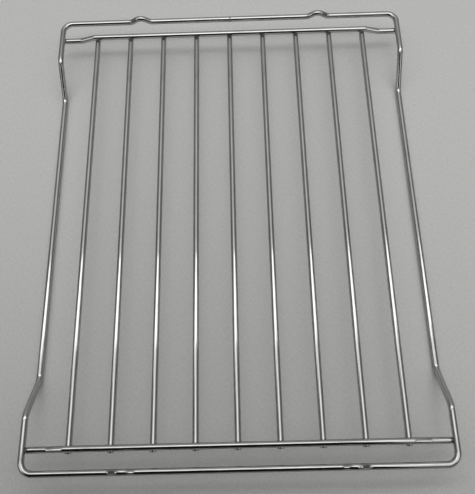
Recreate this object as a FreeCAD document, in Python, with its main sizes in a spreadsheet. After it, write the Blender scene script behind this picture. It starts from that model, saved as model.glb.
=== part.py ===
"""An oven shelf of welded round wire: a bent frame, two cross bars and a grid of straight wires.

Millimetres. X runs across the shelf, Y along the grid wires and Z up. The origin lies on the table,
midway between the two low side runs that the shelf stands on.
"""
import FreeCAD
import Part
import Sketcher
import os
from math import sin, tan

# Driving sizes. The wires' places are measured between their centre lines.
SIZES = {
    "frame_wire_diameter": 5.5,
    "cross_wire_diameter": 5.5,
    "grid_wire_diameter": 5.5,
    "grid_pitch": 35.5,
    "side_gap": 37.5,
    "side_run_half": 149.0,
    "side_drop": 27.0,
    "jog_reach": 32.5,
    "jog_radius": 14.0,
    "end_stretch": 47.5,
    "corner_radius": 10.0,
    "bump_offset": 95.5,
    "bump_height": 5.0,
    "bump_angle": 32.0,
    "bump_radius": 9.0,
    "cross_setback": 19.0,
    "joggle_clearance": 3.1,
    "joggle_reach": 15.0,
    "joggle_radius": 6.0,
    "cross_end_margin": 0.8,
    "tip_overhang": 1.1,
    "weld_sink": 1.0,
    "end_chamfer": 0.6,
}

# Sizes that follow from the driving ones, as formulas of the sheet.
DERIVED = {
    "side_run_level": "frame_wire_diameter / 2",
    "frame_level": "side_run_level + side_drop",
    "jog_high": "side_run_half + jog_reach",
    "rail_line": "jog_high + end_stretch",
    "cross_line": "rail_line - cross_setback",
    "outer_grid_line": "{steps} * grid_pitch",
    "side_line": "outer_grid_line + side_gap",
    "bump_apex": "frame_level + bump_height + bump_radius * (1 / cos(bump_angle) - 1)",
    "bump_half": "(bump_apex - frame_level) / tan(bump_angle)",
    "bump_inner_foot": "bump_offset - bump_half",
    "bump_outer_foot": "bump_offset + bump_half",
    "rail_splice": "(bump_outer_foot + side_line) / 2",
    "side_splice": "(jog_high + rail_line) / 2",
    "cross_end_level": "frame_level - (frame_wire_diameter + cross_wire_diameter) / 2 + weld_sink",
    "cross_end": "side_line + frame_wire_diameter / 2 - cross_end_margin",
    "joggle_high": "outer_grid_line + joggle_clearance",
    "joggle_low": "joggle_high + joggle_reach",
    "grid_level": "frame_level - (cross_wire_diameter + grid_wire_diameter) / 2 + weld_sink",
    "grid_length": "2 * cross_line + cross_wire_diameter + 2 * tip_overhang",
}

# The grid has this many wires on each side of the middle one.
GRID_STEPS = 4

doc = FreeCAD.newDocument("OvenShelf")


def make_sheet():
    """Write the driving sizes and the formulas that follow from them into one spreadsheet."""
    sheet = doc.addObject("Spreadsheet::Sheet", "Sizes")
    row = 1
    for name, value in SIZES.items():
        sheet.set("A%d" % row, name)
        sheet.set("B%d" % row, str(value))
        sheet.setAlias("B%d" % row, name)
        row += 1
    for name, formula in DERIVED.items():
        sheet.set("A%d" % row, name)
        sheet.set("B%d" % row, "=" + formula.format(steps=GRID_STEPS))
        sheet.setAlias("B%d" % row, name)
        row += 1
    doc.recompute()
    return sheet


sheet = make_sheet()


def size(name):
    """The present value of one of the sheet's cells."""
    return float(sheet.get(name))


def make_body(label):
    """An empty body whose label names its file."""
    body = doc.addObject("PartDesign::Body", label)
    body.Label = label
    return body


def origin_plane(body, role):
    """One of a body's own base planes, such as XZ_Plane."""
    return next(item for item in body.Origin.OriginFeatures if item.Role == role)


def make_sketch(body, name, role, offset=None):
    """A sketch on one of the body's base planes, moved along the plane's normal by a formula."""
    sketch = body.newObject("Sketcher::SketchObject", name)
    sketch.AttachmentSupport = (origin_plane(body, role), [""])
    sketch.MapMode = "FlatFace"
    if offset:
        sketch.setExpression("AttachmentOffset.Base.z", offset)
    return sketch


def place(across, up):
    """The sketch point that two cells give; no cell is zero."""
    return FreeCAD.Vector(size(across) if across else 0.0, size(up) if up else 0.0, 0.0)


def point_rules(geometry, position, across, up):
    """The rules that bind a point to two cells, each with its cell; no cell puts it on the axis."""
    rules = []
    for kind, axis, cell in (("DistanceX", -2, across), ("DistanceY", -1, up)):
        if cell:
            rules.append((Sketcher.Constraint(kind, -1, 1, geometry, position, size(cell)), cell))
        else:
            rules.append((Sketcher.Constraint("PointOnObject", geometry, position, axis), None))
    return rules


def apply_rules(sketch, rules):
    """Add constraints all at once, then bind each that has a cell to the sheet."""
    first = sketch.ConstraintCount
    sketch.addConstraint([rule for rule, cell in rules])
    for index, (rule, cell) in enumerate(rules):
        if cell:
            sketch.setExpression("Constraints[%d]" % (first + index), "Sizes." + cell)


def draw_round(sketch, across, up, diameter):
    """A circle whose centre and diameter are bound to cells."""
    upright = FreeCAD.Vector(0, 0, 1)
    circle = sketch.addGeometry(Part.Circle(place(across, up), upright, size(diameter) / 2))
    rules = point_rules(circle, 3, across, up)
    rules.append((Sketcher.Constraint("Diameter", circle, size(diameter)), diameter))
    apply_rules(sketch, rules)


def draw_bent_line(sketch, start, corners, finish):
    """A wire's centre line: straight runs that meet at corners, each corner rounded by a tangent bend.

    A start or finish is a pair of cells, and a corner is a pair of cells and its bend's radius.
    """
    points = [place(*start)] + [place(*corner[:2]) for corner in corners] + [place(*finish)]
    bends = []
    turns_left = []
    ends = [points[0]]
    for before, corner, after, spec in zip(points, points[1:], points[2:], corners):
        to_before = (before - corner).normalize()
        to_after = (after - corner).normalize()
        half_turn = to_before.getAngle(to_after) / 2
        radius = size(spec[2])
        run = radius / tan(half_turn)
        crown = (to_before + to_after).normalize() * (radius / sin(half_turn) - radius)
        first, last = corner + to_before * run, corner + to_after * run
        ends += [first, last]
        turns_left.append(to_after.cross(to_before).z > 0)
        arc_ends = (first, last) if turns_left[-1] else (last, first)
        bends.append(Part.Arc(arc_ends[0], corner + crown, arc_ends[1]))
    ends.append(points[-1])
    runs = [Part.LineSegment(a, b) for a, b in zip(ends[::2], ends[1::2])]
    sketch.addGeometry(runs + bends)
    marks = sketch.addGeometry([Part.Point(corner) for corner in points[1:-1]], True)

    rules = point_rules(0, 1, *start) + point_rules(len(runs) - 1, 2, *finish)
    for before, (mark, spec) in enumerate(zip(marks, corners)):
        bend = len(runs) + before
        near, far = (1, 2) if turns_left[before] else (2, 1)
        rules += point_rules(mark, 1, spec[0], spec[1])
        rules.append((Sketcher.Constraint("PointOnObject", mark, 1, before), None))
        rules.append((Sketcher.Constraint("PointOnObject", mark, 1, before + 1), None))
        rules.append((Sketcher.Constraint("Tangent", before, 2, bend, near), None))
        rules.append((Sketcher.Constraint("Tangent", before + 1, 1, bend, far), None))
        rules.append((Sketcher.Constraint("Radius", bend, size(spec[2])), spec[2]))
    apply_rules(sketch, rules)


def sweep_wire(body, name, section, line):
    """A round wire swept along its centre line."""
    pipe = body.newObject("PartDesign::AdditivePipe", name)
    pipe.Profile = section
    pipe.Spine = line
    return pipe


def mirror_all(body, name, features, roles):
    """Mirror features in each named plane of the body, one after the other."""
    copies = body.newObject("PartDesign::MultiTransform", name)
    copies.Originals = features
    mirrors = []
    for role in roles:
        mirror = body.newObject("PartDesign::Mirrored", name + role)
        mirror.MirrorPlane = (origin_plane(body, role), [""])
        mirrors.append(mirror)
    copies.Transformations = mirrors
    body.Tip = copies
    return copies


def make_frame():
    """The closed loop of the frame: a quarter of it in three flat stretches, mirrored both ways."""
    body = make_body("frame_wire")
    rail_line = make_sketch(body, "RailLine", "XZ_Plane", "-Sizes.rail_line")
    bump = [("bump_inner_foot", "frame_level", "bump_radius"),
            ("bump_offset", "bump_apex", "bump_radius"),
            ("bump_outer_foot", "frame_level", "bump_radius")]
    draw_bent_line(rail_line, (None, "frame_level"), bump, ("rail_splice", "frame_level"))
    rail_section = make_sketch(body, "RailSection", "YZ_Plane")
    draw_round(rail_section, "rail_line", "frame_level", "frame_wire_diameter")
    rail = sweep_wire(body, "Rail", rail_section, rail_line)

    corner_line = make_sketch(body, "CornerLine", "XY_Plane", "Sizes.frame_level")
    corner = [("side_line", "rail_line", "corner_radius")]
    draw_bent_line(corner_line, ("rail_splice", "rail_line"), corner, ("side_line", "side_splice"))
    corner_section = make_sketch(body, "CornerSection", "YZ_Plane", "Sizes.rail_splice")
    draw_round(corner_section, "rail_line", "frame_level", "frame_wire_diameter")
    corner = sweep_wire(body, "Corner", corner_section, corner_line)

    side_line = make_sketch(body, "SideLine", "YZ_Plane", "Sizes.side_line")
    jog = [("side_run_half", "side_run_level", "jog_radius"),
           ("jog_high", "frame_level", "jog_radius")]
    draw_bent_line(side_line, (None, "side_run_level"), jog, ("side_splice", "frame_level"))
    side_section = make_sketch(body, "SideSection", "XZ_Plane")
    draw_round(side_section, "side_line", "side_run_level", "frame_wire_diameter")
    side = sweep_wire(body, "Side", side_section, side_line)

    mirror_all(body, "Quarters", [rail, corner, side], ["YZ_Plane", "XZ_Plane"])
    return body


def chamfer_ends(body, feature, name):
    """Break the sharp rims of a wire's two cut ends, the flat faces of its shape."""
    doc.recompute()
    shape = feature.Shape
    ends = [face.Edges[0] for face in shape.Faces if isinstance(face.Surface, Part.Plane)]
    rims = ["Edge%d" % (i + 1) for i, edge in enumerate(shape.Edges) if any(edge.isSame(end) for end in ends)]
    chamfer = body.newObject("PartDesign::Chamfer", name)
    chamfer.Base = (feature, rims)
    chamfer.setExpression("Size", "Sizes.end_chamfer")
    return chamfer


def cut_seat(body, name, section):
    """Cut the shallow round seat in which a crossing wire is welded."""
    seat = body.newObject("PartDesign::Pocket", name)
    seat.Profile = section
    seat.Type = "ThroughAll"
    seat.Midplane = True
    return seat


def make_cross_bar(label, side):
    """A cross bar level with the frame, whose ends step down to be welded under the frame's sides."""
    body = make_body(label)
    line = make_sketch(body, label + "_line", "XZ_Plane")
    joggle = [("joggle_high", "frame_level", "joggle_radius"),
              ("joggle_low", "cross_end_level", "joggle_radius")]
    draw_bent_line(line, (None, "frame_level"), joggle, ("cross_end", "cross_end_level"))
    section = make_sketch(body, label + "_section", "YZ_Plane")
    draw_round(section, None, "frame_level", "cross_wire_diameter")
    half = sweep_wire(body, label + "_half", section, line)
    bar = mirror_all(body, label + "_bar", [half], ["YZ_Plane"])
    chamfer_ends(body, bar, label + "_rim")
    seat_section = make_sketch(body, label + "_seat_section", "XZ_Plane")
    draw_round(seat_section, "side_line", "frame_level", "frame_wire_diameter")
    seat = cut_seat(body, label + "_seat", seat_section)
    mirror_all(body, label + "_seats", [seat], ["YZ_Plane"])
    body.setExpression("Placement.Base.y", "%d * Sizes.cross_line" % side)
    return body


def make_grid_wire(label, step):
    """A straight grid wire, welded under both cross bars, with its tips standing out past them."""
    body = make_body(label)
    section = make_sketch(body, label + "_section", "XZ_Plane")
    draw_round(section, None, "grid_level", "grid_wire_diameter")
    rod = body.newObject("PartDesign::Pad", label + "_rod")
    rod.Profile = section
    rod.Midplane = True
    rod.setExpression("Length", "Sizes.grid_length")
    chamfer_ends(body, rod, label + "_rim")
    seat_section = make_sketch(body, label + "_seat_section", "YZ_Plane")
    draw_round(seat_section, "cross_line", "frame_level", "cross_wire_diameter")
    seat = cut_seat(body, label + "_seat", seat_section)
    mirror_all(body, label + "_seats", [seat], ["XZ_Plane"])
    body.setExpression("Placement.Base.x", "%d * Sizes.grid_pitch" % step)
    return body


def check(bodies):
    """Stop if anything failed to build, or a wire isn't one sound solid."""
    doc.recompute()
    for item in doc.Objects:
        if "Invalid" in item.State or "Error" in item.State:
            raise RuntimeError("%s failed: %s" % (item.Label, item.State))
    for body in bodies:
        shape = body.Shape
        if shape.isNull() or not shape.isValid() or len(shape.Solids) != 1:
            raise RuntimeError("%s isn't one sound solid" % body.Label)


def write(bodies):
    """Write each wire to a file of its own, named by its label."""
    os.makedirs("parts", exist_ok=True)
    for body in bodies:
        body.Shape.exportStep("parts/%s.step" % body.Label)
        print("%s: %.0f mm3" % (body.Label, body.Shape.Volume))


wires = [make_frame(), make_cross_bar("cross_bar_front", -1), make_cross_bar("cross_bar_rear", 1)]
for step in range(-GRID_STEPS, GRID_STEPS + 1):
    wires.append(make_grid_wire("grid_wire_%d" % (step + GRID_STEPS + 1), step))
check(wires)
write(wires)
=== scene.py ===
"""The oven shelf dressed for its picture: bright plated wires, their welds and a plain studio.

Metres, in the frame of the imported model: X across the shelf, Y along the grid wires, Z up from the table.
"""
import logging
import math
from abc import ABC, abstractmethod
from dataclasses import dataclass
from enum import Enum

import bmesh
import bpy
from mathutils import Matrix, Vector

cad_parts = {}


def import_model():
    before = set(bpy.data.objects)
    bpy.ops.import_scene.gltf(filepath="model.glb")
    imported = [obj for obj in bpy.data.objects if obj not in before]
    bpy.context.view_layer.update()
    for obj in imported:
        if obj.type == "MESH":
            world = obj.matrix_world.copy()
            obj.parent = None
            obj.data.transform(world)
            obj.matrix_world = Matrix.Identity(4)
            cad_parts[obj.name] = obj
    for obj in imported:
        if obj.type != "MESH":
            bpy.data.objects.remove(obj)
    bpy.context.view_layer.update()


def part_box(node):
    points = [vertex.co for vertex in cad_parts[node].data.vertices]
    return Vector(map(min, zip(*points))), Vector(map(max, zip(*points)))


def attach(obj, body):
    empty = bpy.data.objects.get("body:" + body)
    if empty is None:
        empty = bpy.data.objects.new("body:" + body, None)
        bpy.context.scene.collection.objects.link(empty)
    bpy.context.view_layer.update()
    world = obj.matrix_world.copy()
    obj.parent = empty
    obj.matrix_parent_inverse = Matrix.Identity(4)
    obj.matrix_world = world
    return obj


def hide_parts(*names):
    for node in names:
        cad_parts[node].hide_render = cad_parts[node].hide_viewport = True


log = logging.getLogger("oven_shelf")

# Kinds of value that the hints name. A feed is what a node's input can be given.
Pair = tuple[float, float]
Place = tuple[float, float, float]
Colour = tuple[float, float, float, float]
Socket = bpy.types.NodeSocket
Feed = float | Place | Colour | Socket
Geometry = list[bmesh.types.BMVert | bmesh.types.BMEdge | bmesh.types.BMFace]

BODY = "root"
WIRE_UV = "wire_uv"
GRID_COUNT = 9
WHITE = (1.0, 1.0, 1.0, 1.0)

# How finely a wire is drawn: the points round it, the turn of one step in a bend, the short stretch
# at each end of a straight run that keeps the bend's shading off it, and the share of the radius
# within which the two ends of a closed wire are merged.
RING_POINTS = 40
BEND_STEP = math.radians(4.0)
SUPPORT = 0.0015
MERGE_SHARE = 0.01


class End(Enum):
    """The two ends of the shelf, by the sign of their Y."""

    FRONT = -1
    REAR = 1

    @property
    def word(self) -> str:
        """The end's name in lower case, as the CAD nodes have it."""
        return self.name.lower()


@dataclass(frozen=True)
class Corner:
    """A point where a wire's centre line turns, and the radius of the bend that rounds it."""

    point: Vector
    radius: float

    def turned_round(self) -> "Corner":
        """The same corner on the other half of the shelf, half a turn about Z."""
        return Corner(Vector((-self.point.x, -self.point.y, self.point.z)), self.radius)


class WireMesh:
    """A round wire drawn in a bmesh: one ring of points, pushed along runs and turned through bends."""

    def __init__(self, start: Vector, heading: Vector, radius: float) -> None:
        """Set the first ring down.

        Args:
            start: the centre of the wire's first section.
            heading: the way that the wire goes from there.
            radius: the wire's radius.
        """
        self.bm = bmesh.new()
        self.around = self.bm.verts.layers.int.new("around")
        self.along = self.bm.verts.layers.float.new("along")
        self.radius = radius
        self.start = start.copy()
        self.first_heading = heading.normalized()
        facing = self.first_heading.to_track_quat("Z", "Y").to_matrix().to_4x4()
        placed = Matrix.Translation(start) @ facing
        ring = bmesh.ops.create_circle(
            self.bm, cap_ends=False, segments=RING_POINTS, radius=radius, matrix=placed
        )
        self.first: list[bmesh.types.BMVert] = ring["verts"]
        for index, vert in enumerate(self.first):
            vert[self.around] = index
        self.rewind()

    def rewind(self) -> None:
        """Make the first ring the present one."""
        self.verts = list(self.first)
        self.centre = self.start.copy()
        self.heading = self.first_heading.copy()
        self.length = 0.0

    def ring_edges(self) -> list[bmesh.types.BMEdge]:
        """The edges of the present ring.

        Returns:
            The edges that have both ends in the ring, in an order that is the same each time.
        """
        ring = dict.fromkeys(self.verts)
        touching = dict.fromkeys(edge for vert in ring for edge in vert.link_edges)
        return [edge for edge in touching if all(vert in ring for vert in edge.verts)]

    def take_ring(self, geometry: Geometry, length: float) -> None:
        """Make a new ring the present one.

        Args:
            geometry: what an operator returned, with the ring's points in it.
            length: the way along the wire from the last ring to this one.
        """
        self.verts = [item for item in geometry if isinstance(item, bmesh.types.BMVert)]
        self.length += length
        for vert in self.verts:
            vert[self.along] = self.length

    def run(self, length: float) -> None:
        """Push the ring straight ahead, with a ring close to each end that keeps the shading true.

        Args:
            length: how far it goes.
        """
        support = min(SUPPORT, length / 4)
        for part in (support, length - 2 * support, support):
            self.push(part)

    def push(self, length: float, swell: float = 1.0) -> None:
        """Push the ring one step ahead.

        Args:
            length: how far it goes.
            swell: the new ring's radius as a share of the last one's.
        """
        made = bmesh.ops.extrude_edge_only(self.bm, edges=self.ring_edges())["geom"]
        self.take_ring(made, length)
        self.centre += self.heading * length
        bmesh.ops.translate(self.bm, verts=self.verts, vec=self.heading * length)
        if swell != 1.0:
            about = Matrix.Translation(-self.centre)
            bmesh.ops.scale(self.bm, verts=self.verts, vec=Vector((swell,) * 3), space=about)

    def bend(self, axis: Vector, angle: float, radius: float) -> None:
        """Turn the ring through a round bend.

        Args:
            axis: the line that the bend turns about, by the right hand.
            angle: the turn, in radians.
            radius: the bend's radius at the wire's centre line.
        """
        pivot = self.centre + axis.cross(self.heading) * radius
        steps = max(2, math.ceil(angle / BEND_STEP))
        for _ in range(steps):
            spun = bmesh.ops.spin(
                self.bm, geom=self.verts + self.ring_edges(), cent=pivot, axis=axis,
                angle=angle / steps, steps=1, use_duplicate=False,
            )
            self.take_ring(spun["geom_last"], radius * angle / steps)
        turn = Matrix.Rotation(angle, 3, axis)
        self.centre = pivot + turn @ (self.centre - pivot)
        self.heading = turn @ self.heading

    def follow(self, corners: list[Corner], finish: Vector) -> None:
        """Go through corners, rounding each, and on to a last point.

        Args:
            corners: the corners in their order.
            finish: where the wire's centre line ends.
        """
        points = [corner.point for corner in corners] + [finish]
        for corner, after in zip(corners, points[1:]):
            leaving = (after - corner.point).normalized()
            angle = self.heading.angle(leaving)
            before = (corner.point - self.centre).length - corner.radius * math.tan(angle / 2)
            self.run(before)
            self.bend(self.heading.cross(leaving).normalized(), angle, corner.radius)
        self.run((finish - self.centre).length)

    def map_surface(self) -> None:
        """Give every face its place on the wire: the share of the way round, and metres along."""
        layer = self.bm.loops.layers.uv.new(WIRE_UV)
        for face in self.bm.faces:
            face.smooth = len(face.verts) == 4
            turns = [vert[self.around] for vert in face.verts]
            seam = max(turns) - min(turns) > 1
            for loop in face.loops:
                index = loop.vert[self.around]
                if seam and index == 0:
                    index = RING_POINTS
                loop[layer].uv = (index / RING_POINTS, loop.vert[self.along])

    def close_loop(self) -> None:
        """Join the last ring to the first, for a wire that closes on itself."""
        self.map_surface()
        bmesh.ops.remove_doubles(self.bm, verts=self.first + self.verts, dist=self.radius * MERGE_SHARE)


def object_from(bm: bmesh.types.BMesh, name: str) -> bpy.types.Object:
    """Make a bmesh an object of the scene, with its faces outwards.

    Args:
        bm: the shape, which is used up.
        name: the piece's name.

    Returns:
        The new object, at the origin with its place in its mesh.
    """
    bmesh.ops.recalc_face_normals(bm, faces=bm.faces[:])
    mesh = bpy.data.meshes.new(name)
    bm.to_mesh(mesh)
    bm.free()
    piece = bpy.data.objects.new(name, mesh)
    bpy.context.scene.collection.objects.link(piece)
    return piece


def dress(bm: bmesh.types.BMesh, name: str, material: bpy.types.Material, *nodes: str) -> None:
    """Make a shape a piece of the shelf, with its finish, its body and the CAD nodes that it stands for.

    Args:
        bm: the shape, which is used up.
        name: the piece's name.
        material: its finish.
        nodes: the CAD nodes that it replaces, if any.
    """
    piece = object_from(bm, name)
    piece.data.materials.append(material)
    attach(piece, BODY)
    if nodes:
        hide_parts(*nodes)
    log.info("%s: %d faces", piece.name, len(piece.data.polygons))


class NodeBoard:
    """The nodes of a material or a world, added and joined in few words."""

    def __init__(self, owner: bpy.types.Material | bpy.types.World) -> None:
        """Give the owner its nodes.

        Args:
            owner: a new material or world.
        """
        owner.use_nodes = True
        self.owner = owner
        self.tree = owner.node_tree
        surface = isinstance(owner, bpy.types.Material)
        self.shader = self.tree.nodes["Principled BSDF" if surface else "Background"]

    def add(
        self, kind: str, sockets: dict[str | int, Feed] | None = None, **settings: object
    ) -> bpy.types.Node:
        """Add a node.

        Args:
            kind: Blender's name for the node, without its ShaderNode start.
            sockets: values or output sockets for its inputs, by name or number.
            settings: its own properties.

        Returns:
            The node.
        """
        node = self.tree.nodes.new("ShaderNode" + kind)
        for key, value in settings.items():
            setattr(node, key, value)
        for key, value in (sockets or {}).items():
            self.feed(node, key, value)
        return node

    def feed(self, node: bpy.types.Node, key: str | int, value: Feed) -> None:
        """Set one of a node's inputs to a value, or join an output socket to it.

        Args:
            node: the node.
            key: the input's name or number.
            value: what it gets.
        """
        if isinstance(value, Socket):
            self.tree.links.new(value, node.inputs[key])
        else:
            node.inputs[key].default_value = value

    def shade(self, sockets: dict[str, Feed]) -> None:
        """Feed several inputs of the owner's own shader."""
        for key, value in sockets.items():
            self.feed(self.shader, key, value)

    def calc(self, operation: str, *values: Feed) -> Socket:
        """The output of a Math node on some numbers or sockets."""
        return self.add("Math", dict(enumerate(values)), operation=operation).outputs[0]

    def span(self, value: Socket, source: Pair, target: Pair = (0.0, 1.0)) -> Socket:
        """Carry a value from one range to another and hold it at the ends.

        Args:
            value: the value.
            source: the range that it comes from.
            target: the range that it goes to.

        Returns:
            The new value.
        """
        limits = {"Value": value, "From Min": source[0], "From Max": source[1]}
        limits.update({"To Min": target[0], "To Max": target[1]})
        return self.add("MapRange", limits, clamp=True).outputs["Result"]

    def tint(self, share: Socket, first: Colour, second: Colour) -> Socket:
        """Mix two colours. The Mix node's colour sockets have no names of their own, so they go by number."""
        mix = self.add("Mix", {0: share, 6: first, 7: second}, data_type="RGBA", clamp_factor=True)
        return mix.outputs[2]

    def noise(self, vector: Socket, scale: float, detail: float = 2.0) -> Socket:
        """The grey output of a noise texture."""
        return self.add("TexNoise", {"Vector": vector, "Scale": scale, "Detail": detail}).outputs["Fac"]

    def scaled(self, vector: Socket, scale: Place) -> Socket:
        """A vector stretched by a Mapping node."""
        return self.add("Mapping", {"Vector": vector, "Scale": scale}).outputs["Vector"]

    def bump(self, height: Socket, depth: float) -> bpy.types.Node:
        """A Bump node at its full strength."""
        return self.add("Bump", {"Height": height, "Strength": 1.0, "Distance": depth})


@dataclass(frozen=True)
class PlatedFinish:
    """Bright plating on drawn wire: fine lines along it, faint haze and a slight waver in its straightness.

    The stretches slow a noise down round the wire and along it.
    """

    name: str = "bright_plating"
    bright: Colour = (0.52, 0.52, 0.515, 1.0)
    hazed: Colour = (0.43, 0.43, 0.42, 1.0)
    edge: Colour = (0.25, 0.25, 0.25, 1.0)
    roughness: Pair = (0.05, 0.15)
    line_scale: float = 2600.0
    line_stretch: Place = (1.0, 1.0, 0.015)
    line_depth: float = 0.00002
    haze_scale: float = 150.0
    haze_stretch: Place = (1.0, 1.0, 0.3)
    haze_detail: float = 4.0
    tinted_haze: Pair = (0.45, 0.75)
    dulled_haze: Pair = (0.35, 0.8)
    waver_scale: float = 160.0
    waver_stretch: Place = (0.5, 0.5, 0.25)
    waver_detail: float = 1.0
    waver_depth: float = 0.0002

    def make(self, radius: float) -> bpy.types.Material:
        """Build the material.

        Args:
            radius: the wires' radius, which turns the map's share of a turn into a place round the wire.

        Returns:
            The material, which reads each wire's own map.
        """
        board = NodeBoard(bpy.data.materials.new(self.name))
        place = board.add("SeparateXYZ", {0: board.add("UVMap", uv_map=WIRE_UV).outputs[0]}).outputs
        turn = board.calc("MULTIPLY", place["X"], 2 * math.pi)
        across = board.calc("MULTIPLY", board.calc("COSINE", turn), radius)
        over = board.calc("MULTIPLY", board.calc("SINE", turn), radius)
        wire = board.add("CombineXYZ", {"X": across, "Y": over, "Z": place["Y"]}).outputs[0]

        lines = board.noise(board.scaled(wire, self.line_stretch), self.line_scale)
        haze = board.noise(board.scaled(wire, self.haze_stretch), self.haze_scale, self.haze_detail)
        waver = board.noise(board.scaled(wire, self.waver_stretch), self.waver_scale, self.waver_detail)
        fine = board.bump(lines, self.line_depth)
        soft = board.bump(waver, self.waver_depth)
        board.feed(soft, "Normal", fine.outputs[0])

        board.shade({
            "Base Color": board.tint(board.span(haze, self.tinted_haze), self.bright, self.hazed),
            "Metallic": 1.0,
            "Specular Tint": self.edge,
            "Roughness": board.span(haze, self.dulled_haze, self.roughness),
            "Normal": soft.outputs[0],
        })
        return board.owner


@dataclass(frozen=True)
class WeldFinish:
    """Plating over a weld's squeezed metal: duller, darker and pitted, mottled brown with painted shade for
    the crevices where wires cross.
    """

    name: str = "plated_weld"
    # The weld metal is darker than the wires' plating and mottles into a brown: painted shade for the
    # crevices where wires cross.
    metal: Colour = (0.36, 0.36, 0.35, 1.0)
    painted_shade: Colour = (0.2, 0.185, 0.165, 1.0)
    roughness: Pair = (0.25, 0.5)
    painted_shade_scale: float = 700.0
    painted_shade_detail: float = 3.0
    painted_shade_range: Pair = (0.4, 0.65)
    pit_scale: float = 2200.0
    pit_detail: float = 4.0
    pit_range: Pair = (0.3, 0.7)
    pit_depth: float = 0.00015

    def make(self) -> bpy.types.Material:
        """Build the material.

        Returns:
            The material, which reads Object coordinates.
        """
        board = NodeBoard(bpy.data.materials.new(self.name))
        place = board.add("TexCoord").outputs["Object"]
        # Noise that mottles the painted shade, a darker brown, into the weld metal.
        painted_shade_mottle = board.noise(place, self.painted_shade_scale, self.painted_shade_detail)
        pits = board.noise(place, self.pit_scale, self.pit_detail)
        board.shade({
            "Base Color": board.tint(board.span(painted_shade_mottle, self.painted_shade_range), self.metal, self.painted_shade),
            "Metallic": 1.0,
            "Roughness": board.span(pits, self.pit_range, self.roughness),
            "Normal": board.bump(pits, self.pit_depth).outputs[0],
        })
        return board.owner


@dataclass(frozen=True)
class TableFinish:
    """A pale matt table top with a faint weave, whose threads are stretched along X and along Y."""

    name: str = "pale_table"
    pale: Colour = (0.765, 0.772, 0.751, 1.0)
    thread: Colour = (0.665, 0.672, 0.651, 1.0)
    thread_scale: float = 1000.0
    thread_stretch: float = 0.3
    thread_range: Pair = (0.7, 1.3)
    roughness: float = 0.9
    gloss: float = 0.1

    def make(self) -> bpy.types.Material:
        """Build the material.

        Returns:
            The material, which reads Object coordinates.
        """
        board = NodeBoard(bpy.data.materials.new(self.name))
        place = board.add("TexCoord").outputs["Object"]
        weft = board.noise(board.scaled(place, (self.thread_stretch, 1.0, 1.0)), self.thread_scale)
        warp = board.noise(board.scaled(place, (1.0, self.thread_stretch, 1.0)), self.thread_scale)
        woven = board.span(board.calc("ADD", weft, warp), self.thread_range)
        board.shade({
            "Base Color": board.tint(woven, self.pale, self.thread),
            "Roughness": self.roughness,
            "Specular IOR Level": self.gloss,
        })
        return board.owner


@dataclass(frozen=True)
class CardFinish:
    """Matt black card."""

    name: str = "black_card"
    black: Colour = (0.01, 0.01, 0.01, 1.0)
    roughness: float = 1.0

    def make(self) -> bpy.types.Material:
        """Build the material.

        Returns:
            The material.
        """
        board = NodeBoard(bpy.data.materials.new(self.name))
        board.shade({"Base Color": self.black, "Roughness": self.roughness})
        return board.owner


@dataclass
class FrameLoop:
    """The bent outer wire: two end rails with runner bumps, and two sides that step down to the table."""

    radius: float
    side_line: float
    rail_line: float
    level: float
    run_level: float
    node: str
    run_half: float = 0.149
    jog_reach: float = 0.0325
    jog_radius: float = 0.014
    corner_radius: float = 0.010
    bump_offset: float = 0.0955
    bump_height: float = 0.005
    bump_angle: float = math.radians(32.0)
    bump_radius: float = 0.009
    seam_offset: float = 0.001

    @classmethod
    def from_node(cls, node: str, radius: float, level: float) -> "FrameLoop":
        """A loop whose outer sizes are read from its CAD node.

        Args:
            node: the CAD node.
            radius: the wire's radius.
            level: the height of the rails' centre lines.

        Returns:
            The loop.
        """
        low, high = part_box(node)
        return cls(
            radius=radius, side_line=high.x - radius, rail_line=high.y - radius, level=level,
            run_level=low.z + radius, node=node,
        )

    @property
    def seam(self) -> Vector:
        """Where the loop's two ends are welded together, on the rear rail's centre line."""
        return Vector((self.seam_offset, self.rail_line, self.level))

    def bump(self, offset: float, y: float) -> list[Corner]:
        """The corners of a raised bump on a rail.

        Args:
            offset: the X of the bump's middle.
            y: the rail's own Y.

        Returns:
            Three corners, from the lower X to the higher.
        """
        rise = self.bump_height + self.bump_radius * (1.0 / math.cos(self.bump_angle) - 1.0)
        half = rise / math.tan(self.bump_angle)
        places = ((offset - half, 0.0), (offset, rise), (offset + half, 0.0))
        return [Corner(Vector((x, y, self.level + lift)), self.bump_radius) for x, lift in places]

    def side(self) -> list[Corner]:
        """The corners of the side at +X.

        Returns:
            A corner, the four bends of two jogs and a corner, from front to rear.
        """
        jog_line = self.run_half + self.jog_reach
        bends = (
            (-self.rail_line, self.level, self.corner_radius),
            (-jog_line, self.level, self.jog_radius),
            (-self.run_half, self.run_level, self.jog_radius),
            (self.run_half, self.run_level, self.jog_radius),
            (jog_line, self.level, self.jog_radius),
            (self.rail_line, self.level, self.corner_radius),
        )
        return [Corner(Vector((self.side_line, y, z)), bend) for y, z, bend in bends]

    def draw(self) -> WireMesh:
        """Draw the loop from its butt weld on the rear rail, once round.

        Returns:
            The wire, closed.
        """
        front = self.bump(self.bump_offset, -self.rail_line)
        rear = self.bump(self.bump_offset, self.rail_line)[::-1]
        right_half = front + self.side() + rear
        left_half = [corner.turned_round() for corner in right_half]
        wire = WireMesh(self.seam, Vector((-1.0, 0.0, 0.0)), self.radius)
        wire.follow(left_half + right_half, self.seam)
        wire.close_loop()
        return wire

    def make(self, plating: bpy.types.Material) -> None:
        """Draw the loop and dress it in its plating."""
        dress(self.draw().bm, "frame_loop", plating, self.node)


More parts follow.
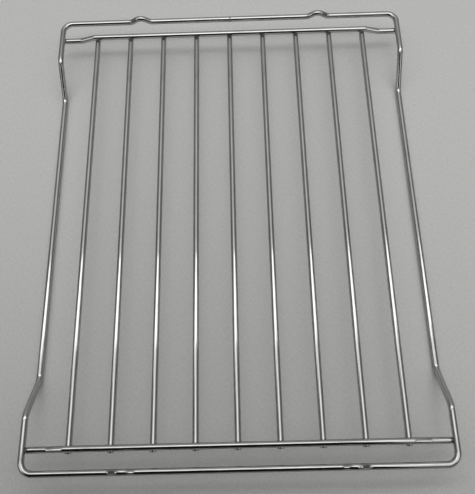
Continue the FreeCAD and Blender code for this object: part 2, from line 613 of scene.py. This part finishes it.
@dataclass
class CutWire(ABC):
    """A wire with two cut ends, whose rims are broken a little."""

    radius: float
    rim: float = 0.0006
    rim_steps: int = 3

    @property
    @abstractmethod
    def name(self) -> str:
        """The piece's name."""

    @property
    @abstractmethod
    def node(self) -> str:
        """The CAD node that the wire stands for."""

    @abstractmethod
    def draw(self) -> WireMesh:
        """Draw the wire from its node's own box."""

    def make(self, plating: bpy.types.Material) -> None:
        """Draw the wire and dress it in its plating."""
        dress(self.draw().bm, self.name, plating, self.node)

    def cut_end(self, wire: WireMesh, outward: float) -> None:
        """Round a cut end's rim and close it with its flat face.

        Args:
            wire: the wire, at the ring of the end.
            outward: 1 to go on ahead, -1 to go backwards, as at a wire's start.
        """
        for step in range(1, self.rim_steps + 1):
            last = (step - 1) / self.rim_steps * math.pi / 2
            this = step / self.rim_steps * math.pi / 2
            ahead = self.rim * (math.sin(this) - math.sin(last)) * outward
            old = self.radius - self.rim * (1.0 - math.cos(last))
            new = self.radius - self.rim * (1.0 - math.cos(this))
            wire.push(ahead, new / old)
        bmesh.ops.contextual_create(wire.bm, geom=wire.ring_edges())

    def lay(self, start: Vector, corners: list[Corner], finish: Vector) -> WireMesh:
        """Draw a wire from one cut end to the other.

        Args:
            start: the middle of the first cut face.
            corners: the corners on the way.
            finish: the middle of the last cut face.

        Returns:
            The wire, with both ends closed.
        """
        points = [start] + [corner.point for corner in corners] + [finish]
        ahead = (points[1] - start).normalized()
        back = (points[-2] - finish).normalized()
        wire = WireMesh(start + ahead * self.rim, ahead, self.radius)
        wire.follow(corners, finish + back * self.rim)
        self.cut_end(wire, 1.0)
        wire.rewind()
        self.cut_end(wire, -1.0)
        wire.map_surface()
        return wire


@dataclass
class CrossBar(CutWire):
    """A wire inside an end rail, level with the frame, whose ends step down under the frame's sides."""

    end: End = End.FRONT
    joggle_high: float = 0.1451
    joggle_reach: float = 0.015
    joggle_radius: float = 0.006

    @property
    def name(self) -> str:
        """The piece's name."""
        return self.end.word + "_cross_bar"

    @property
    def node(self) -> str:
        """The bar's CAD node."""
        return "cross_bar_" + self.end.word

    @property
    def level(self) -> float:
        """The height of the centre line of the bar's middle, which is the rails' too."""
        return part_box(self.node)[1].z - self.radius

    def draw(self) -> WireMesh:
        """Draw the bar from its node's own box.

        Returns:
            The wire, with both ends closed.
        """
        low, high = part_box(self.node)
        y = (low.y + high.y) / 2
        foot = low.z + self.radius
        half = ((self.joggle_high + self.joggle_reach, foot), (self.joggle_high, self.level))
        corners = [Corner(Vector((-x, y, z)), self.joggle_radius) for x, z in half]
        corners += [Corner(Vector((x, y, z)), self.joggle_radius) for x, z in half[::-1]]
        return self.lay(Vector((low.x, y, foot)), corners, Vector((high.x, y, foot)))

    def crossings(self, lines: list[float]) -> list[Vector]:
        """The middles of the bar's welds to wires on lines of the given X, all at its own middle height."""
        middle = sum(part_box(self.node), Vector()) / 2
        return [Vector((x, middle.y, middle.z)) for x in lines]


@dataclass
class GridRod(CutWire):
    """A straight wire of the grid, under both cross bars."""

    number: int = 1

    @property
    def name(self) -> str:
        """The piece's name."""
        return "grid_rod_%d" % self.number

    @property
    def node(self) -> str:
        """The rod's CAD node."""
        return "grid_wire_%d" % self.number

    @property
    def line(self) -> float:
        """The X of the rod's centre line."""
        return sum(corner.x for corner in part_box(self.node)) / 2

    def draw(self) -> WireMesh:
        """Draw the rod from its node's own box.

        Returns:
            The wire, with both ends closed.
        """
        low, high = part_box(self.node)
        z = low.z + self.radius
        return self.lay(Vector((self.line, low.y, z)), [], Vector((self.line, high.y, z)))


@dataclass
class WeldRow:
    """The squeezed-out metal where a row of wires is welded to the wire that crosses them.

    A bead is a flat ball that reaches out into the corners between its two wires.
    """

    end: End
    spread: float = 0.0022
    depth: float = 0.0009
    corners: int = 4
    lobe: float = 0.5
    uneven: float = 0.06
    lumps: int = 3
    turn_each: float = 2.4
    fineness: int = 3

    def reach(self, angle: float, number: int) -> float:
        """A bead's reach at an angle about Z, as a share of its spread, a little different for each."""
        squeezed = self.lobe * (1.0 - math.cos(self.corners * angle)) / 2
        return 1.0 + squeezed + self.uneven * math.sin(self.lumps * angle + self.turn_each * number)

    def draw(self, places: list[Vector]) -> bmesh.types.BMesh:
        """Set a bead at each crossing.

        Args:
            places: the middles of the crossings.

        Returns:
            The beads.
        """
        bm = bmesh.new()
        flat = Matrix.Diagonal((self.spread, self.spread, self.depth, 1.0))
        for number, place in enumerate(places):
            bead = bmesh.ops.create_icosphere(bm, subdivisions=self.fineness, radius=1.0)["verts"]
            for vert in bead:
                vert.co.xy *= self.reach(math.atan2(vert.co.y, vert.co.x), number)
            bmesh.ops.transform(bm, matrix=Matrix.Translation(place) @ flat, verts=bead)
        for face in bm.faces:
            face.smooth = True
        return bm

    def make(self, places: list[Vector], finish: bpy.types.Material) -> None:
        """Set the row's beads and dress them."""
        dress(self.draw(places), self.end.word + "_weld_beads", finish)


@dataclass
class ButtWeld:
    """The low ring round the frame's wire where its two ends are welded together."""

    half_width: float = 0.0007
    proud: float = 0.00014
    section_points: int = 12

    def draw(self, place: Vector, radius: float) -> bmesh.types.BMesh:
        """Spin the ring's flat oval section once round the wire, which runs along X.

        Args:
            place: the middle of the weld, on the wire's centre line.
            radius: the wire's radius.

        Returns:
            The ring.
        """
        bm = bmesh.new()
        top = Matrix.Translation(place + Vector((0.0, 0.0, radius))) @ Matrix.Rotation(math.pi / 2, 4, "X")
        oval = top @ Matrix.Diagonal((self.half_width, self.proud, 1.0, 1.0))
        bmesh.ops.create_circle(bm, cap_ends=False, segments=self.section_points, radius=1.0, matrix=oval)
        bmesh.ops.spin(
            bm, geom=bm.verts[:] + bm.edges[:], cent=place, axis=(1.0, 0.0, 0.0),
            angle=2 * math.pi, steps=RING_POINTS, use_merge=True, use_duplicate=False,
        )
        for face in bm.faces:
            face.smooth = True
        return bm

    def make(self, place: Vector, radius: float, finish: bpy.types.Material) -> None:
        """Spin the ring and dress it."""
        dress(self.draw(place, radius), "frame_butt_weld", finish)


@dataclass(frozen=True)
class PhotoCamera:
    """A camera held over the near end of the shelf, looking down and away."""

    place: Place = (0.01064, -0.23151, 0.55078)
    dip: float = math.radians(69.341)
    heading: float = math.radians(2.113)
    roll: float = math.radians(-3.596)
    sensor: float = 36.0
    image_height: float = 494.0
    focal_pixels: float = 599.46

    def make(self) -> None:
        """Add the camera and make it the scene's own."""
        data = bpy.data.cameras.new("photo_camera")
        data.sensor_width = self.sensor
        data.lens = self.focal_pixels * self.sensor / self.image_height
        camera = bpy.data.objects.new("photo_camera", data)
        bpy.context.scene.collection.objects.link(camera)
        turn = Matrix.Rotation(self.heading, 4, "Z") @ Matrix.Rotation(math.pi / 2 - self.dip, 4, "X")
        camera.matrix_world = Matrix.Translation(self.place) @ turn @ Matrix.Rotation(self.roll, 4, "Z")
        bpy.context.scene.camera = camera


@dataclass(frozen=True)
class Studio:
    """A pale table, soft lamps overhead, a dark card on the near side and an even grey room.

    The room's steps are greys at heights of the view, from 0 at the horizon to 1 straight up. Its far wall
    is where the view's Y starts to add light, and how much.
    """

    floor_half: float = 4.0
    room_steps: tuple[Pair, ...] = (
        (0.0, 0.05), (0.588, 0.19), (0.766, 0.36), (0.848, 0.72), (0.914, 0.76), (0.985, 1.6),
    )
    far_wall: Pair = (0.3, 0.3)
    lamp_place: Place = (0.0, 0.14, 0.78)
    lamp_turn: float = math.radians(3.9)
    lamp_depth: float = 0.2
    lamp_panels: tuple[Pair, ...] = ((1.0, 0.78), (2.3, 1.36))
    side_place: Place = (1.0, -0.46, 0.78)
    side_size: Pair = (0.3, 0.4)
    side_watts: float = 0.66
    card_foot: Place = (-0.12, -0.6, 0.1)
    card_top: Place = (-0.12, -0.2, 0.85)
    card_width: float = 0.7

    def make_floor(self) -> None:
        """Lay the table's top, which isn't part of the object."""
        bm = bmesh.new()
        bmesh.ops.create_grid(bm, x_segments=1, y_segments=1, size=self.floor_half)
        floor = object_from(bm, "table_top")
        floor.data.materials.append(TableFinish().make())

    def make_card(self) -> None:
        """Lean the dark card that the wires mirror over the near end, out of the camera's sight."""
        foot = Vector(self.card_foot)
        up = Vector(self.card_top) - foot
        leaning = up.to_track_quat("Y", "Z").to_matrix().to_4x4()
        shape = Matrix.Diagonal((self.card_width / 2, up.length / 2, 1.0, 1.0))
        placed = Matrix.Translation(foot + up / 2) @ leaning @ shape
        bm = bmesh.new()
        bmesh.ops.create_grid(bm, x_segments=1, y_segments=1, size=1.0, matrix=placed)
        card = object_from(bm, "dark_card")
        card.data.materials.append(CardFinish().make())
        card.visible_camera = False

    def hang_panel(self, name: str, placed: Matrix, size: Pair, watts: float) -> None:
        """Hang a lamp that is a flat soft panel, shining down.

        Args:
            name: the lamp's name.
            placed: its place and turn.
            size: its width and depth.
            watts: its strength.
        """
        data = bpy.data.lights.new(name, "AREA")
        data.shape = "RECTANGLE"
        data.size, data.size_y = size
        data.energy = watts
        lamp = bpy.data.objects.new(name, data)
        lamp.matrix_world = placed
        bpy.context.scene.collection.objects.link(lamp)

    def make_light(self) -> None:
        """Hang the overhead lamp, a short panel on a long dim one, and a small panel at each near corner.

        The small ones stand where only the sloping ends of the cross bars mirror them.
        """
        overhead = Matrix.Translation(self.lamp_place) @ Matrix.Rotation(self.lamp_turn, 4, "Z")
        for width, watts in self.lamp_panels:
            self.hang_panel("overhead_panel", overhead, (width, self.lamp_depth), watts)
        x, y, z = self.side_place
        for side in (-1, 1):
            placed = Matrix.Translation((side * x, y, z))
            self.hang_panel("side_panel", placed, self.side_size, self.side_watts)

    def make_room(self) -> bpy.types.World:
        """The room's own light: a pale ceiling that falls off to darker walls.

        Returns:
            The world, whose grey follows the height above the horizon.
        """
        board = NodeBoard(bpy.data.worlds.new("grey_room"))
        way = board.add("SeparateXYZ", {0: board.add("TexCoord").outputs["Generated"]}).outputs
        ramp = board.add("ValToRGB", {"Fac": way["Z"]})
        stops = ramp.color_ramp.elements
        while len(stops) < len(self.room_steps):
            stops.new(1.0)
        for stop, (height, grey) in zip(stops, self.room_steps):
            stop.position = height
            stop.color = (grey, grey, grey, 1.0)
        start, glow = self.far_wall
        wall = board.span(way["Y"], (start, 1.0), (0.0, glow))
        board.shade({"Color": WHITE, "Strength": board.calc("ADD", ramp.outputs["Color"], wall)})
        return board.owner

    def make(self) -> None:
        """Set up the whole studio."""
        self.make_floor()
        self.make_card()
        self.make_light()
        bpy.context.scene.world = self.make_room()
        bpy.context.scene.view_settings.view_transform = "Standard"


def main() -> None:
    """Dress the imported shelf, piece by piece, and set up its picture."""
    logging.basicConfig(level=logging.INFO, format="%(name)s: %(message)s")
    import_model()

    low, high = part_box("grid_wire_1")
    radius = (high.x - low.x) / 2
    plating = PlatedFinish().make(radius)
    weld = WeldFinish().make()
    bars = [CrossBar(radius, end=end) for end in End]
    rods = [GridRod(radius, number=number) for number in range(1, GRID_COUNT + 1)]
    loop = FrameLoop.from_node("frame_wire", radius, bars[0].level)
    lines = [rod.line for rod in rods] + [-loop.side_line, loop.side_line]

    loop.make(plating)
    ButtWeld().make(loop.seam, radius, weld)
    for rod in rods:
        rod.make(plating)
    for bar in bars:
        bar.make(plating)
        WeldRow(bar.end).make(bar.crossings(lines), weld)

    PhotoCamera().make()
    Studio().make()


if __name__ == "__main__":
    main()
